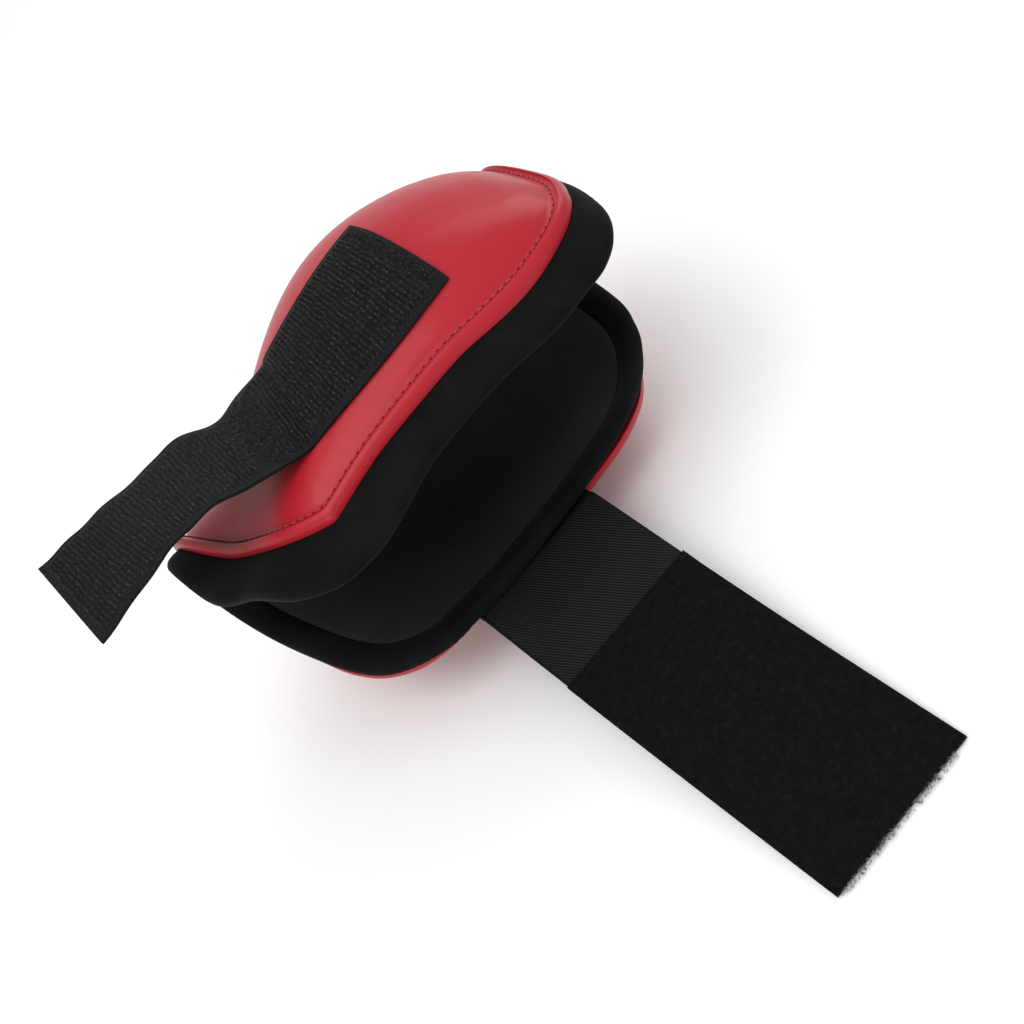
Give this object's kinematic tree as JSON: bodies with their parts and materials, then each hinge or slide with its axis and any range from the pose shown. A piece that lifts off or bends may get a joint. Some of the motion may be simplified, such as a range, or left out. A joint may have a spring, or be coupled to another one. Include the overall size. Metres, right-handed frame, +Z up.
{
  "type": "limb guard",
  "caption": "Wrap-round limb guard: a glossy moulded cup shell on a padded U, with a hook tape patch and tail and an elastic strap ending in loop tape.",
  "frame": {"origin": "centre of the object's box, on the floor that its lower half and the end of its strap lie on", "axes": "+X along the limb, +Y from the strap's cut end towards the back of the U, +Z up"},
  "size_m": [0.183, 0.241, 0.1174],
  "materials": {
    "shell_red": "glossy moulded soft PVC, smooth",
    "thread_red": "dark red lock stitch",
    "thread_black": "black lock stitch",
    "neoprene_black": "black neoprene with a smooth cloth face",
    "foam_black": "closed-cell foam, hidden",
    "hook_black": "hook tape with fine rows across its width",
    "loop_black": "velvety loop pile",
    "elastic_black": "ribbed woven elastic"
  },
  "bodies": {
    "guard_lower": {"shell_lower": "shell_red", "shell_seam_lower": "thread_red", "dome_foam_lower": "foam_black", "foam_core_lower": "foam_black", "inner_lining_lower": "neoprene_black", "edge_band_lower": "neoprene_black", "elastic_root": "elastic_black"},
    "guard_upper": {"shell_upper": "shell_red", "shell_seam_upper": "thread_red", "dome_foam_upper": "foam_black", "foam_core_upper": "foam_black", "inner_lining_upper": "neoprene_black", "edge_band_upper": "neoprene_black", "hook_patch": "hook_black", "patch_box_stitch": "thread_black"},
    "tail_root": {"hook_tail_root": "hook_black"},
    "tail_middle": {"hook_tail_middle": "hook_black"},
    "tail_end": {"hook_tail_end": "hook_black"},
    "strap_1": {"elastic_1": "elastic_black"},
    "strap_2": {"loop_tape_1": "loop_black", "strap_box_stitch": "thread_black"},
    "strap_3": {"loop_tape_2": "loop_black"},
    "strap_4": {"loop_tape_3": "loop_black"},
    "strap_5": {"loop_tape_4": "loop_black"},
    "strap_6": {"loop_tape_5": "loop_black"}
  },
  "joints": [
    {"name": "back_flex", "type": "hinge", "parent": "guard_lower", "child": "guard_upper", "pos_m": [0.0065, 0.1007, 0.0692], "axis": [1, 0, 0], "range_deg": [0, 6]},
    {"name": "tail_lift", "type": "hinge", "parent": "guard_upper", "child": "tail_root", "pos_m": [-0.0208, 0.0551, 0.0983], "axis": [0.165, 0.979, -0.12], "range_deg": [0, 70]},
    {"name": "tail_bend_1", "type": "hinge", "parent": "tail_root", "child": "tail_middle", "pos_m": [-0.0435, 0.0549, 0.1072], "axis": [0.044, 0.985, -0.167], "range_deg": [-5, 120]},
    {"name": "tail_bend_2", "type": "hinge", "parent": "tail_middle", "child": "tail_end", "pos_m": [-0.0677, 0.0551, 0.1095], "axis": [-0.052, 0.992, -0.115], "range_deg": [-3, 48]},
    {"name": "strap_lift", "type": "hinge", "parent": "guard_lower", "child": "strap_1", "pos_m": [0.0065, 0.0141, 0.0231], "axis": [-1, 0, 0], "range_deg": [-10, 85]},
    {"name": "strap_bend_1", "type": "hinge", "parent": "strap_1", "child": "strap_2", "pos_m": [0.0065, -0.0199, 0.0159], "axis": [-1, 0, 0], "range_deg": [-3, 22]},
    {"name": "strap_bend_2", "type": "hinge", "parent": "strap_2", "child": "strap_3", "pos_m": [0.0065, -0.0399, 0.0121], "axis": [-1, 0, 0], "range_deg": [-5, 38]},
    {"name": "strap_bend_3", "type": "hinge", "parent": "strap_3", "child": "strap_4", "pos_m": [0.0065, -0.0599, 0.0088], "axis": [-1, 0, 0], "range_deg": [-8, 64]},
    {"name": "strap_bend_4", "type": "hinge", "parent": "strap_4", "child": "strap_5", "pos_m": [0.0065, -0.0801, 0.0061], "axis": [-1, 0, 0], "range_deg": [-3, 26]},
    {"name": "strap_bend_5", "type": "hinge", "parent": "strap_5", "child": "strap_6", "pos_m": [0.0065, -0.1004, 0.0038], "axis": [-1, 0, 0], "range_deg": [-3, 16]}
  ],
  "couplings": [
    {"joint": "tail_bend_1", "follows": "tail_lift", "ratio": 1.35},
    {"joint": "tail_bend_2", "follows": "tail_lift", "ratio": 0.45},
    {"joint": "strap_lift", "follows": "back_flex", "ratio": 11},
    {"joint": "strap_bend_1", "follows": "back_flex", "ratio": 2.45},
    {"joint": "strap_bend_2", "follows": "back_flex", "ratio": 4.27},
    {"joint": "strap_bend_3", "follows": "back_flex", "ratio": 7.55},
    {"joint": "strap_bend_4", "follows": "back_flex", "ratio": 2.65},
    {"joint": "strap_bend_5", "follows": "back_flex", "ratio": 1.41}
  ]
}
